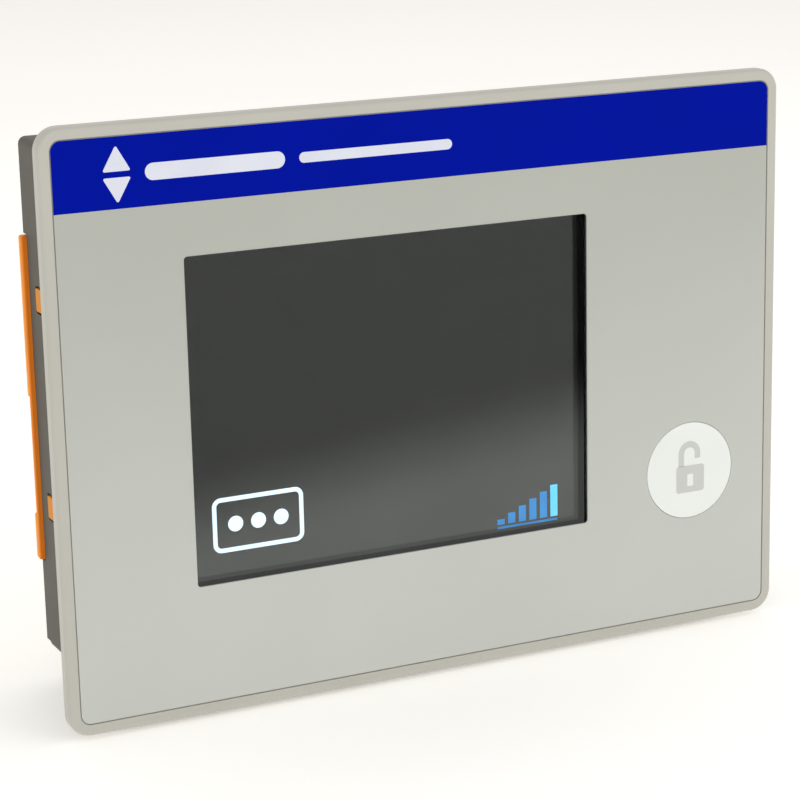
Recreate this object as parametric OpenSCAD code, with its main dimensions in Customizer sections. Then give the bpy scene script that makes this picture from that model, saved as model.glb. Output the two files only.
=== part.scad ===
// Operator panel for a control cabinet door: a flat front with a touch display and one key,
// a sheet-metal housing behind it, and four screw clamps that pull its gasket against the door.
// X is to the right, Y towards the rear and Z up. The origin is the middle of the plane in which
// the gasket meets the door.

/* [Front] */
// Width of the front frame
frame_w = 212; // [208:1:220]
// Height of the front frame
frame_h = 156; // [153:1:162]
// Thickness of the front frame
frame_t = 3.5; // [3.4:0.1:4.5]
// Corner radius of the front frame
frame_r = 6; // [5:0.5:9]
// Rounding of the frame's front edge
edge_r = 1; // [0.6:0.1:2.4]
// Width of bare frame around the film
film_margin = 3.4; // [3:0.1:4]
// Thickness of the overlay film
film_t = 0.45; // [0.3:0.05:0.5]
// Width of the gap line around the film
film_gap = 0.35; // [0.2:0.05:0.5]
// Height by which the gasket stands proud of the frame
gasket_proud = 0.5; // [0.4:0.1:0.8]

/* [Display] */
// Width of the display's viewing window
view_w = 115.2; // [112:0.2:116]
// Height of the display's viewing window
view_h = 86.4; // [84:0.2:87]
// Place of the window's middle along the width
view_x = -12.1; // [-13:0.1:-11]
// Width of the touch glass hidden behind the film on each side
glass_border = 6.4; // [6:0.1:6.6]

/* [Unlock key] */
// Place of the key along the width
key_x = 78.3; // [78:0.1:79]
// Place of the key along the height
key_z = -32.8; // [-34:0.1:-32]
// Radius of the film's round cut-out for the key
key_r = 13.9; // [13:0.1:14]
// Travel of the key
key_travel = 0.5; // [0.3:0.05:0.6]

/* [Housing] */
// Width of the housing
house_w = 190.6; // [190:0.2:192]
// Height of the housing
house_h = 139; // [138.6:0.1:140]
// Depth of the housing behind the door's face
house_d = 46; // [45.8:0.1:48]
// Thickness of the housing's sheet metal
wall_t = 1.5; // [1.2:0.1:1.6]

/* [Media cover] */
// Height of the media cover
cover_h = 88.4; // [86:0.2:89]
// Thickness of the media cover's plate
cover_t = 1.6; // [1.4:0.1:1.8]
// Height of the grip pads above the plate
pad_rise = 1.7; // [1.2:0.1:2]
// Distance by which the cover stands out past the side wall
cover_lip = 1.3; // [0.8:0.1:1.6]

/* [Clamps] */
// Distance of the clamps from the middle
clamp_x = 78; // [77.5:0.5:80]
// Stroke of a clamp's pressure pad
clamp_travel = 5; // [3:0.5:5]
// Radius of a clamp's screw
clamp_r = 2; // [1.8:0.1:2]

/* [Hidden] */
$fn = 64;
cut = 1;                                    // how far a cutting solid runs past a face
fit_gap = 0.05;                             // radial clearance of a shaft in its hole

// front stack, from the face back
frame_back = -gasket_proud;
frame_face = frame_back - frame_t;
film_back = frame_face + 0.5;
film_face = film_back - film_t;
film_w = frame_w - 2 * film_margin;
film_h = frame_h - 2 * film_margin;
film_r = frame_r - film_margin;
glass_w = view_w + 2 * glass_border;
glass_h = view_h + 2 * glass_border;
glass_back = film_back + 1.8;
lcd_w = 144;
lcd_h = 104.6;
lcd_skin = 0.6;
lcd_back = frame_back + 6.2;
cell_back = frame_back + lcd_skin + 1.8;
gasket_w = 4;
gasket_front = frame_back - 1.5;
gasket_margin = 2.6;

// posts on the back of the frame: the display carrier, the key board and the backlight driver
post_r = 3.2;
carrier_posts = [[view_x - 75.9, 55], [view_x - 75.9, -55], [view_x + 76.1, 55], [view_x + 76.1, -55]];
key_posts = [[69.5, -46.5], [88.5, -19]];
driver_posts = [[82, 51], [82, 11]];
small_post_r = 2.4;
driver_y = 3;
key_board_y = 1;
pcb_t = 1.6;

// M3 and M2.5 screws: [thread radius, pilot radius, clearance radius, head radius, head height]
m3 = [1.2, 1.25, 1.6, 2.8, 1.9];
m25 = [0.95, 1, 1.35, 2.1, 1.3];

// unlock key
key_cap_r = key_r - 0.15;
key_cap_t = 1;
key_stem_r = 3;
key_floor = film_face + key_cap_t + key_travel + 0.15;
dome_r = 6;
dome_h = 0.45;
dome_t = 0.12;

// boards and cooling behind the display
carrier_t = 1.2;
carrier_back = lcd_back + carrier_t;
board_y = 20;
board_back = board_y + pcb_t;
board_w = 150;
board_h = 124;
board_x = 15;
board_holes = [[-54, 56], [56.5, 56], [-54, -44], [60, -44]];
hot_chips = [[6, 32], [32, 10]];            // [x, z] of the processor and the chip set
hot_chip_w = 22;
hot_chip_h = 2.4;
pad_t = 0.5;
sink_y = board_back + hot_chip_h + pad_t;
sink_w = 64;
sink_h = 50;
sink_at = [18, 20];
sink_base = 2.4;
fin_count = 10;
fin_t = 1.4;

// housing, its tabs and its screws
bend_r = 2;
tab = 10;
cover_y = house_d - wall_t;
rear_gap = 0.3;
corner_screws = [for (x = [-1, 1], z = [-1, 1]) [x * 89.3, z * 63.5]];
rear_screws = concat(corner_screws, [[5, 63.5], [5, -63.5]]);
house_wall = -house_h / 2;                  // outer face of the bottom wall

// sockets along the bottom edge: middle, width, depth along Y and the gap left around them
inlet_x = -48;
jack_x = [-24, -5];
usb_x = [13, 30];
serial_x = 55;
socket_gap = 0.3;
inlet_size = [16.9, 9];
jack_size = [16, 13.4];
usb_size = [13.1, 6.4];
dsub_size = [19.2, 10.8];
dsub_spacing = 24.99;
dsub_y = board_back + 6.3;
stud_at = [-64, 32];
stud_r = 2;

// media bay at the left edge of the rear
hinge_x = -66;
pin_r = 1;
knuckle_r = 1.9;
knuckle_gap = 0.4;
door_knuckle = 10;
bay_knuckle = 5;
hinge_z = [30, -30];
door_y = house_d - 2.4;                     // inner face of the closed cover
hinge_y = door_y + cover_t / 2;
door_z = -0.5;
door_gap = 0.5;
bay_wall = 1.5;
bay_left = -house_w / 2 + wall_t;
bay_right = hinge_x + 1.4;
bay_h = 92;
bay_floor = 30;
bay_top = door_y - 0.3;
nose_z = [28, -28];
nose_h = 6.1;
nose_y = [31, 36.9];
nose_round = 0.6;
nose_gap = [0.9, 0.5];                      // free space below and above each nose
nose_end = 1.2;                             // free space behind its end
service_y = 8.6;
service_back = service_y + pcb_t;
service_x = [-92.5, -63.5];
card_at = [-80.5, 20];
card = [2.1, 32, 24];
cell_at = [-80.5, -26];
coin_r = 10;
coin_t = 3.2;
coin_y = 26;
button_x = -71.5;
power_z = 24;
reset_z = 10;
button_r = 3;
button_face = 37;
button_travel = 1;
plunger_r = 1.6;
light_z = [-6, -14, -22];
light_r = 1.25;

// clamps: 1 and 2 on the top wall, 3 and 4 on the bottom wall
clamp_at = [[-1, 1], [1, 1], [-1, -1], [1, -1]];
clamp_rise = 2.8;                           // screw axis above the wall
clamp_y = 9;
clamp_block = [12, 6, 5.8];
clamp_foot = [10, 13, 0.6];
clamp_pad_y = clamp_travel + 1.5;          // the pad's front, with the screw run back
clamp_pad_t = 1.8;
clamp_pad_r = 2.6;
clamp_tip_r = 1.5;
clamp_end = 25;

// A flat shape, drawn in X and Z, given thickness from y0 to y1
module plate(y0, y1) {
    translate([0, y1, 0]) rotate([90, 0, 0]) linear_extrude(y1 - y0) children();
}

// A shape drawn in X and Z at a given place
module at(p) {
    translate([p[0], p[1]]) children();
}

module round_rect(w, h, r) {
    square([w - 2 * r, h], center = true);
    square([w, h - 2 * r], center = true);
    for (x = [-1, 1], z = [-1, 1]) at([x * (w / 2 - r), z * (h / 2 - r)]) circle(r);
}

// A slot with round ends, its length along X
module slot(len, w) {
    square([len - w, w], center = true);
    for (x = [-1, 1]) at([x * (len - w) / 2, 0]) circle(w / 2);
}

module box(x, y, z) {
    translate([x[0], y[0], z[0]]) cube([x[1] - x[0], y[1] - y[0], z[1] - z[0]]);
}

// Section through a plate's edge with its upper corner rounded
module edge_section(reach, t, e) {
    square([reach - e, t]);
    square([reach, t - e]);
    translate([reach - e, t - e]) circle(e);
}

// A plate in X and Y with round corners and a rounded upper edge
module soft_plate(w, h, t, r, e) {
    for (i = [0 : 3]) {
        side = i % 2 == 0 ? [w, h] : [h, w];
        rotate(90 * i) {
            translate([side[0] / 2 - r, side[1] / 2 - r, 0])
                rotate_extrude(angle = 90) edge_section(r, t, e);
            translate([side[0] / 2 - r, 0, 0]) rotate([90, 0, 0])
                linear_extrude(side[1] - 2 * r, center = true) edge_section(r, t, e);
        }
    }
    translate([0, 0, t / 2]) cube([w - 2 * r, h - 2 * r, t], center = true);
}

// A rod along Y from y0 to y1
module rod(p, y0, y1, r, sides = 64) {
    plate(y0, y1) at(p) circle(r, $fn = sides);
}

// A pan-head screw that enters towards the front, with its head on the plane y
module screw(p, y, len, kind) {
    rod(p, y - len, y, kind[0]);
    difference() {
        rod(p, y, y + kind[4], kind[3]);
        for (a = [0, 90])
            translate([p[0], y + kind[4], p[1]]) rotate([0, a, 0])
                cube([kind[3] * 1.1, 1.6, 0.5], center = true);
    }
}

// A flat ribbon: its path lies in the plane that is extruded by w
module ribbon(path, w, t = 0.3) {
    linear_extrude(w, center = true) for (i = [0 : len(path) - 2]) {
        a = path[i];
        b = path[i + 1];
        translate(a) rotate(atan2(b[1] - a[1], b[0] - a[0])) translate([0, -t / 2])
            square([norm(b - a), t]);
        if (i > 0) translate(a) circle(t / 2);
    }
}

// ---- front ----

module front_frame() color("silver") difference() {
    union() {
        rotate([90, 0, 0]) translate([0, 0, gasket_proud])
            soft_plate(frame_w, frame_h, frame_t, frame_r, edge_r);
        for (p = carrier_posts) rod(p, frame_back - 1, lcd_back, post_r);
        for (p = key_posts) rod(p, frame_back - 1, key_board_y, small_post_r);
        for (p = driver_posts) rod(p, frame_back - 1, driver_y, small_post_r);
    }
    plate(frame_face - cut, film_back)
        round_rect(film_w + 2 * film_gap, film_h + 2 * film_gap, film_r + film_gap);
    plate(film_back - cut, frame_back + cut) at([view_x, 0]) round_rect(glass_w + 0.6, glass_h + 0.6, 2);
    // recess and stem hole of the unlock key
    rod([key_x, key_z], film_back - cut, key_floor, key_r + 0.2);
    rod([key_x, key_z], key_floor - cut, frame_back + cut, key_stem_r + 0.3);
    // groove for the gasket
    plate(gasket_front, frame_back + cut) gasket_outline();
    // relief for the touch glass's tail
    box([view_x + glass_w / 2 - 1, view_x + 76], [glass_back, frame_back + cut], [-9.5, 5.5]);
    for (p = carrier_posts) rod(p, frame_back - 0.5, lcd_back + cut, m3[1]);
    for (p = key_posts) rod(p, frame_back - 1.5, key_board_y + cut, m25[1]);
    for (p = driver_posts) rod(p, frame_back - 1.5, driver_y + cut, m25[1]);
    for (p = corner_screws) rod(p, frame_back - 2.3, frame_back + cut, m3[1]);
}

module overlay_film() color("darkgray") plate(film_face, film_back) difference() {
    round_rect(film_w, film_h, film_r);
    at([view_x, 0]) round_rect(view_w, view_h, 1);
    at([key_x, key_z]) circle(key_r);
}

module gasket_outline() {
    w = frame_w - 2 * gasket_margin;
    h = frame_h - 2 * gasket_margin;
    r = frame_r - gasket_margin;
    difference() {
        round_rect(w, h, r);
        round_rect(w - 2 * gasket_w, h - 2 * gasket_w, r - gasket_w / 2);
    }
}

module front_gasket() color("dimgray") plate(gasket_front, 0) gasket_outline();

module touch_glass() color("lightblue", 0.4) plate(film_back, glass_back)
    at([view_x, 0]) round_rect(glass_w, glass_h, 1.5);

module touch_seal() color("black") plate(glass_back, frame_back) at([view_x, 0]) difference() {
    square([glass_w - 2, glass_h - 2], center = true);
    square([view_w + 3, view_h + 3], center = true);
}

module touch_ribbon() color("darkorange") translate([0, 0, -2])
    ribbon([[view_x + 63.3, glass_back + 0.15], [62, glass_back + 0.15], [62, board_y - 2]], 12);

module lcd_frame() color("gainsboro") difference() {
    plate(frame_back, lcd_back) at([view_x, 0]) square([lcd_w, lcd_h], center = true);
    plate(frame_back + lcd_skin, lcd_back + cut)
        at([view_x, 0]) square([lcd_w - 2 * lcd_skin, lcd_h - 2 * lcd_skin], center = true);
    plate(frame_back - cut, lcd_back)
        at([view_x, 0]) square([view_w + 2, view_h + 2], center = true);
}

module lcd_cell() color("darkslategray") plate(frame_back + lcd_skin, cell_back)
    at([view_x, 0]) square([view_w + 14, view_h + 10], center = true);

module lcd_backlight() color("white") plate(cell_back, lcd_back)
    at([view_x, 0]) square([lcd_w - 2 * lcd_skin - 0.6, lcd_h - 2 * lcd_skin - 0.6], center = true);

module display_ribbon() color("darkorange") translate([-17, 0, 0]) rotate([90, 0, 90])
    ribbon([[4, lcd_h / 2], [4, 54.6], [board_y - 2, 54.6]], 26);

module display_carrier() color("lightgray") plate(lcd_back, carrier_back) difference() {
    at([view_x + 0.1, 0]) round_rect(158.4, 118.4, 3);
    for (x = [-36, 36]) at([view_x + x, 0]) round_rect(52, 76, 4);
    for (p = concat(carrier_posts, board_holes)) at(p) circle(m3[2]);
    at([62, -2]) square([3, 16], center = true);
    at([-17, 54.6]) square([30, 2.4], center = true);
}

module carrier_screws() color("silver") for (p = carrier_posts) screw(p, carrier_back, 7, m3);

// ---- unlock key ----

module unlock_key() color("whitesmoke") {
    rod([key_x, key_z], film_face, film_face + key_cap_t, key_cap_r);
    rod([key_x, key_z], film_face + key_cap_t - 0.2, frame_back + 0.5, key_stem_r);
    rod([key_x, key_z], frame_back + 0.1, frame_back + 0.5, key_stem_r + 1.2);
}

// A shallow snap dome: a thin stepped shell on the key board
module key_dome() color("silver") translate([key_x, key_board_y, key_z]) rotate([90, 0, 0])
    rotate_extrude() polygon([[0, dome_h], [0.55 * dome_r, 0.85 * dome_h], [0.95 * dome_r, dome_t],
        [dome_r, 0], [0.9 * dome_r, 0], [0.5 * dome_r, 0.85 * dome_h - dome_t], [0, dome_h - dome_t]]);

module key_board() color("darkgreen") plate(key_board_y, key_board_y + pcb_t) difference() {
    translate([66.5, -49.5]) square([25.5, 34]);
    for (p = key_posts) at(p) circle(m25[2]);
}

module key_ribbon() color("darkorange") translate([0, 0, -24])
    ribbon([[71, key_board_y + pcb_t], [71, 7], [74, 13], [74, board_y - 2]], 8);

// ---- electronics behind the display ----

module backlight_driver() color("green") {
    plate(driver_y, driver_y + pcb_t) difference() {
        translate([71, 6]) square([21.5, 50]);
        for (p = driver_posts) at(p) circle(m25[2]);
    }
    box([75, 89], [driver_y + pcb_t, driver_y + 8.6], [22, 40]);
    rod([77, 16], driver_y + pcb_t, driver_y + 7.6, 3);
    rod([88, 16], driver_y + pcb_t, driver_y + 7.6, 3);
}

module small_board_screws() color("silver") {
    for (p = key_posts) screw(p, key_board_y + pcb_t, 3, m25);
    for (p = driver_posts) screw(p, driver_y + pcb_t, 4.5, m25);
}

module mainboard() color("darkgreen") {
    plate(board_y, board_back) difference() {
        at([board_x, 0]) square([board_w, board_h], center = true);
        for (p = board_holes) at(p) circle(m3[2]);
    }
    // ribbon connectors on its front
    box([60, 64], [board_y - 2, board_y], [-10, 6]);
    box([-32, -2], [board_y - 2, board_y], [52.6, 56.6]);
    box([72, 76], [board_y - 2, board_y], [-30, -18]);
}

module processor_chips() color("dimgray") {
    for (p = hot_chips) plate(board_back, board_back + hot_chip_h)
        at(p) square([hot_chip_w, hot_chip_w], center = true);
    for (i = [0 : 3]) plate(board_back, board_back + 1.2)
        at([-42 + 14 * (i % 2), 20 + 16 * floor(i / 2)]) square([10, 13], center = true);
    plate(board_back, board_back + 1.6) at([70, 20]) square([14, 14], center = true);
}

module thermal_pads() color("lightblue")
    for (p = hot_chips) plate(board_back + hot_chip_h, sink_y)
        at(p) square([hot_chip_w - 2, hot_chip_w - 2], center = true);

module heat_sink() color("lightgray") {
    plate(sink_y, sink_y + sink_base) at(sink_at) square([sink_w, sink_h], center = true);
    first = sink_at[0] - (sink_w - fin_t) / 2;
    pitch = (sink_w - fin_t) / (fin_count - 1);
    for (i = [0 : fin_count - 1]) plate(sink_y + sink_base, cover_y - 1.5)
        at([first + i * pitch, sink_at[1]]) square([fin_t, sink_h], center = true);
}

module board_standoffs() color("silver") for (p = board_holes) difference() {
    rod(p, carrier_back, board_y, 3, 6);
    rod(p, carrier_back - cut, board_y + cut, m3[1]);
}

module board_screws() color("silver") for (p = board_holes) screw(p, board_back, 6, m3);

// ---- housing ----

module housing_shell() color("dimgray") difference() {
    union() {
        plate(frame_back, house_d) difference() {
            round_rect(house_w, house_h, bend_r);
            round_rect(house_w - 2 * wall_t, house_h - 2 * wall_t, bend_r - wall_t + 0.2);
        }
        // tabs for the screws into the front frame and for the rear cover
        for (x = [-1, 1], z = [-1, 1]) {
            plate(frame_back, frame_back + wall_t) corner_tab(x, z);
            plate(cover_y - wall_t, cover_y) corner_tab(x, z);
        }
        for (z = [-1, 1]) plate(cover_y - wall_t, cover_y)
            at([5, z * (house_h / 2 - 1 - tab / 2)]) square([tab, tab], center = true);
    }
    for (p = corner_screws) rod(p, frame_back - cut, frame_back + wall_t + cut, m3[2]);
    for (p = rear_screws) rod(p, cover_y - wall_t - cut, cover_y + cut, m3[1]);
    // side wall: slots for the bay's snap noses, and the edge that the media cover lies over
    for (z = nose_z)
        side_plate(-house_w / 2 - cut, -house_w / 2 + wall_t + cut, [nose_y[0] - 0.5, nose_y[1] + nose_end],
            [z - nose_h / 2 - nose_gap[0], z + nose_h / 2 + nose_gap[1]], nose_round + 0.3);
    box([-house_w / 2 - cut, -house_w / 2 + wall_t + cut], [bay_top, house_d + cut],
        [door_z - cover_h / 2 - door_gap, door_z + cover_h / 2 + door_gap]);
    // cooling slots in the top and bottom walls
    for (i = [-9 : 9]) {
        wall_slot(i * 6, 30, 16, house_h / 2);
        wall_slot(i * 6, 11, 10, -house_h / 2);
    }
    socket_cuts();
    // fold relief at the rear corner of the bottom wall
    box([-house_w / 2 - cut, -house_w / 2 + 3], [house_d - 3, house_d + cut],
        [-house_h / 2 - cut, -house_h / 2 + wall_t + 0.2]);
}

// A flat plate that faces left, from x0 to x1, with its corners rounded
module side_plate(x0, x1, y, z, r) {
    translate([x0, (y[0] + y[1]) / 2, (z[0] + z[1]) / 2]) rotate([90, 0, 90])
        linear_extrude(x1 - x0) round_rect(y[1] - y[0], z[1] - z[0], r);
}

module corner_tab(x, z) {
    at([x * (house_w / 2 - 1 - tab / 2), z * (house_h / 2 - 1 - tab / 2)])
        square([tab, tab], center = true);
}

// A slot through a wall in the XY plane, its length along Y
module wall_slot(x, y, len, z) {
    translate([x, y, z]) linear_extrude(4 * wall_t, center = true) rotate(90) slot(len, 2.6);
}

// Cut-outs for the sockets in the bottom wall
module socket_cuts() {
    z = [house_wall - cut, house_wall + wall_t + cut];
    for (s = concat([[inlet_x, inlet_size, board_back]],
            [for (x = jack_x) [x, jack_size, board_back]],
            [for (x = usb_x) [x, usb_size, board_back]],
            [[serial_x, dsub_size, dsub_y - dsub_size[1] / 2]]))
        box([s[0] - s[1][0] / 2 - socket_gap, s[0] + s[1][0] / 2 + socket_gap],
            [s[2] - socket_gap, s[2] + s[1][1] + socket_gap], z);
    for (x = [-1, 1]) wall_hole([serial_x + x * dsub_spacing / 2, dsub_y], 1.8);
    wall_hole(stud_at, stud_r + 0.1);
}

module wall_hole(p, r) {
    translate([p[0], p[1], house_wall - cut]) cylinder(h = wall_t + 2 * cut, r = r);
}

module rear_cover() color("dimgray") plate(cover_y, house_d) difference() {
    square([house_w - 2 * wall_t - 2 * rear_gap, house_h - 2 * wall_t - 2 * rear_gap], center = true);
    // opening for the media bay
    translate([-house_w, door_z - cover_h / 2 - door_gap])
        square([house_w + hinge_x + knuckle_r + door_gap, cover_h + 2 * door_gap]);
    for (p = rear_screws) at(p) circle(m3[2]);
    // cooling slots over the heat sink
    for (i = [-6 : 6], z = [8, 34]) at([sink_at[0] + i * 5.6, z]) rotate(90) slot(20, 2.8);
}

module rear_cover_screws() color("silver") for (p = rear_screws) screw(p, house_d, 5, m3);

module housing_screws() color("silver")
    for (p = corner_screws) screw(p, frame_back + wall_t, 3.6, m3);

module rating_label() color("gainsboro") plate(house_d, house_d + 0.15)
    at([45, -32]) round_rect(66, 34, 2);

// ---- sockets in the bottom wall ----

module power_inlet() color("darkolivegreen") {
    w = inlet_size[0];
    y = [board_back, board_back + inlet_size[1]];
    difference() {
        box([inlet_x - w / 2, inlet_x + w / 2], y, [house_wall - 1, house_wall + 12]);
        box([inlet_x - w / 2 + 0.8, inlet_x + w / 2 - 0.8], [y[0] + 0.8, y[1] - 0.8],
            [house_wall - 2, house_wall + 8]);
    }
    for (i = [-1 : 1])
        box([inlet_x + i * 5.08 - 0.5, inlet_x + i * 5.08 + 0.5], [y[0] + 2.6, y[0] + 3.6],
            [house_wall + 1, house_wall + 9]);
}

module ethernet_jacks() color("silver") for (x = jack_x) {
    w = jack_size[0];
    difference() {
        box([x - w / 2, x + w / 2], [board_back, board_back + jack_size[1]],
            [house_wall - 0.4, house_wall + 20]);
        box([x - 5.95, x + 5.95], [board_back + 2.4, board_back + 9.6],
            [house_wall - 1, house_wall + 13]);
        box([x - 3, x + 3], [board_back + 9, board_back + 11.4], [house_wall - 1, house_wall + 13]);
    }
    for (i = [0 : 7])
        box([x - 3.82 + i * 1.02, x - 3.42 + i * 1.02], [board_back + 2.4, board_back + 2.9],
            [house_wall + 3, house_wall + 13]);
}

module usb_sockets() color("silver") for (x = usb_x) {
    w = usb_size[0];
    y = [board_back, board_back + usb_size[1]];
    difference() {
        box([x - w / 2, x + w / 2], y, [house_wall - 0.5, house_wall + 13.5]);
        box([x - w / 2 + 0.4, x + w / 2 - 0.4], [y[0] + 0.6, y[1] - 0.6],
            [house_wall - 1, house_wall + 12]);
    }
    box([x - 5.5, x + 5.5], [y[0] + 0.6, y[0] + 2.5], [house_wall + 1.5, house_wall + 12.2]);
}

// Outline of a nine-way D connector, wider at its board side
module d_outline(grow) {
    polygon([[-8.3 - grow, -3.9 - grow], [8.3 + grow, -3.9 - grow],
        [7 + grow, 3.9 + grow], [-7 - grow, 3.9 + grow]]);
}

module serial_port() color("silver") translate([serial_x, dsub_y, 0]) {
    translate([0, 0, house_wall + wall_t + 0.1])
        difference() {
            linear_extrude(0.8) square([30.8, 12.5], center = true);
            for (x = [-1, 1]) translate([x * dsub_spacing / 2, 0, -cut]) cylinder(h = 3, r = 1.6);
        }
    translate([0, 0, house_wall + wall_t + 0.9]) linear_extrude(9) square(dsub_size, center = true);
    translate([0, 0, house_wall - 5]) difference() {
        linear_extrude(wall_t + 5.3) d_outline(0);
        translate([0, 0, -cut]) linear_extrude(6) d_outline(-0.5);
    }
    for (i = [0 : 4]) translate([-5.54 + 2.77 * i, -1.4, house_wall - 4]) cylinder(h = 5, r = 0.5);
    for (i = [0 : 3]) translate([-4.16 + 2.77 * i, 1.4, house_wall - 4]) cylinder(h = 5, r = 0.5);
}

module serial_standoffs() color("silver")
    for (x = [-1, 1]) translate([serial_x + x * dsub_spacing / 2, dsub_y, 0]) difference() {
        union() {
            translate([0, 0, house_wall - 5]) cylinder(h = 5, r = 2.75, $fn = 6);
            translate([0, 0, house_wall - 0.1]) cylinder(h = 6, r = 1.5);
        }
        translate([0, 0, house_wall - 5 - cut]) cylinder(h = 5 + cut, r = 1.2);
    }

module earth_stud() color("gold") translate([stud_at[0], stud_at[1], 0]) {
    translate([0, 0, house_wall - 1.5]) cylinder(h = 1.5, r = 4, $fn = 6);
    translate([0, 0, house_wall - 8]) cylinder(h = 12, r = stud_r);
    translate([0, 0, house_wall + wall_t]) cylinder(h = 2.4, r = 4, $fn = 6);
}

// ---- media bay ----

// A hinge knuckle: a barrel on the hinge axis from z0 to z1
module knuckle(z0, z1) {
    translate([hinge_x, hinge_y, z0]) cylinder(h = z1 - z0, r = knuckle_r);
}

module bay_frame() color("darkorange") difference() {
    union() {
        difference() {
            box([bay_left, bay_right], [bay_floor, bay_top], [-bay_h / 2, bay_h / 2]);
            box([bay_left + bay_wall, bay_right - bay_wall], [bay_floor + bay_wall, bay_top + cut],
                [-bay_h / 2 + bay_wall, bay_h / 2 - bay_wall]);
            // the wall on the hinge's side stays below the barrels
            box([hinge_x - knuckle_r - 0.5, bay_right + cut], [hinge_y - knuckle_r - 0.5, bay_top + cut],
                [-bay_h / 2 + bay_wall, bay_h / 2 - bay_wall]);
        }
        for (z = hinge_z, s = [-1, 1]) {
            z0 = z + s * (door_knuckle / 2 + knuckle_gap + bay_knuckle / 2) - bay_knuckle / 2;
            knuckle(z0, z0 + bay_knuckle);
            box([hinge_x - 0.1, hinge_x + 1.4], [bay_top - 6, hinge_y], [z0, z0 + bay_knuckle]);
        }
        // snap noses in the side wall
        for (z = nose_z)
            side_plate(-house_w / 2 - 0.4, bay_left + 1, nose_y, [z - nose_h / 2, z + nose_h / 2], nose_round);
        // posts down to the service board, and button guides
        for (z = [-1, 1]) rod([-88.5, z * 39], service_back, bay_floor + 0.5, 2.4);
        for (z = [power_z, reset_z]) rod([button_x, z], bay_floor, bay_floor + 1.7, plunger_r + 1.4);
    }
    // each nose stands on a tongue of the side wall, cut free on three sides
    for (z = nose_z) difference() {
        box([bay_left - cut, bay_left + bay_wall + cut], [bay_floor + bay_wall, nose_y[1] + nose_end],
            [z - nose_h / 2 - nose_gap[0], z + nose_h / 2 + nose_gap[0]]);
        box([bay_left - 1, bay_left + bay_wall + 1], [bay_floor, nose_y[1]], [z - nose_h / 2, z + nose_h / 2]);
    }
    for (z = hinge_z) translate([hinge_x, hinge_y, z - 15]) cylinder(h = 30, r = pin_r);
    for (z = [-1, 1]) rod([-88.5, z * 39], service_back - cut, service_back + 6, m25[1]);
    for (z = [power_z, reset_z])
        rod([button_x, z], bay_floor - cut, bay_floor + 3, plunger_r + 0.4);
    for (z = light_z) rod([button_x, z], bay_floor - cut, bay_floor + 3, light_r);
    // slots for the memory card and the battery
    plate(bay_floor - cut, bay_floor + bay_wall + cut) {
        at(card_at) round_rect(5, card[2] + 2, 1);
        at(cell_at) round_rect(6, 2 * coin_r + 2, 1);
    }
}

module media_cover() color("orange") difference() {
    union() {
        box([-house_w / 2 - cover_lip, hinge_x - knuckle_r - 0.3], [door_y, door_y + cover_t],
            [door_z - cover_h / 2, door_z + cover_h / 2]);
        // raised grip pads, with a plain gap between them
        for (z = [[0, door_z + cover_h / 2], [door_z - cover_h / 2, -32]])
            box([-house_w / 2 - cover_lip, -house_w / 2 + 16],
                [door_y + cover_t - 0.2, door_y + cover_t + pad_rise], z);
        for (z = hinge_z) {
            knuckle(z - door_knuckle / 2, z + door_knuckle / 2);
            box([hinge_x - knuckle_r - 1, hinge_x], [door_y, door_y + cover_t],
                [z - door_knuckle / 2, z + door_knuckle / 2]);
        }
        // stiffening ribs on the inside
        for (z = [-38, -14, 4, 38])
            box([bay_left + bay_wall + 1, -70], [door_y - 0.7, door_y + 0.1], [z - 0.6, z + 0.6]);
    }
    for (z = hinge_z) translate([hinge_x, hinge_y, z - 15]) cylinder(h = 30, r = pin_r + fit_gap);
}

module cover_hinge_pins() color("silver") for (z = hinge_z) {
    len = door_knuckle + 2 * (bay_knuckle + knuckle_gap);
    translate([hinge_x, hinge_y, z - len / 2]) cylinder(h = len, r = pin_r);
}

module service_board() color("darkgreen") {
    plate(service_y, service_back) difference() {
        translate([service_x[0], -43]) square([service_x[1] - service_x[0], 86]);
        for (z = [-1, 1]) at([-88.5, z * 39]) circle(m25[2]);
    }
    // two push switches and three light sources
    for (z = [power_z, reset_z])
        box([button_x - 3, button_x + 3], [service_back, service_back + 2.6], [z - 3, z + 3]);
    for (z = light_z)
        box([button_x - 1.6, button_x + 1.6], [service_back, service_back + 0.8], [z - 1, z + 1]);
}

module card_socket() color("dimgray") difference() {
    plate(service_back, bay_floor - 1) at(card_at) square([7, card[2] + 4], center = true);
    plate(service_back + 0.6, bay_floor) at(card_at) square([card[0] + 0.2, card[2] + 0.6], center = true);
}

module memory_card() color("royalblue")
    plate(service_back + 0.6, service_back + 0.6 + card[1]) at(card_at) difference() {
        square([card[0], card[2]], center = true);
        // finger ledge near the exposed end's lower corner
        at([card[0] / 2, -card[2] / 2]) square([1.2, 2], center = true);
    }

module battery_holder() color("dimgray") difference() {
    plate(service_back, bay_floor - 3) at(cell_at) square([7, 2 * coin_r + 4], center = true);
    plate(coin_y - coin_r, bay_floor) at(cell_at) square([coin_t + 0.3, 2 * coin_r + 0.6], center = true);
}

module backup_battery() color("silver") translate([cell_at[0] - coin_t / 2, coin_y, cell_at[1]])
    rotate([0, 90, 0]) cylinder(h = coin_t, r = coin_r);

// A cap on a long plunger that ends just above its switch
module push_button(z) {
    rod([button_x, z], button_face - 4, button_face, button_r);
    rod([button_x, z], service_back + 2.6 + button_travel + 0.2, button_face - 3, plunger_r);
}

module power_button() color("seagreen") push_button(power_z);

module reset_button() color("firebrick") push_button(reset_z);

module status_lights() color("lightyellow") for (z = light_z) {
    rod([button_x, z], service_back + 0.9, bay_floor + bay_wall, light_r);
    rod([button_x, z], bay_floor + bay_wall, bay_floor + bay_wall + 0.5, light_r + 0.5);
}

// ---- clamps ----

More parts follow.
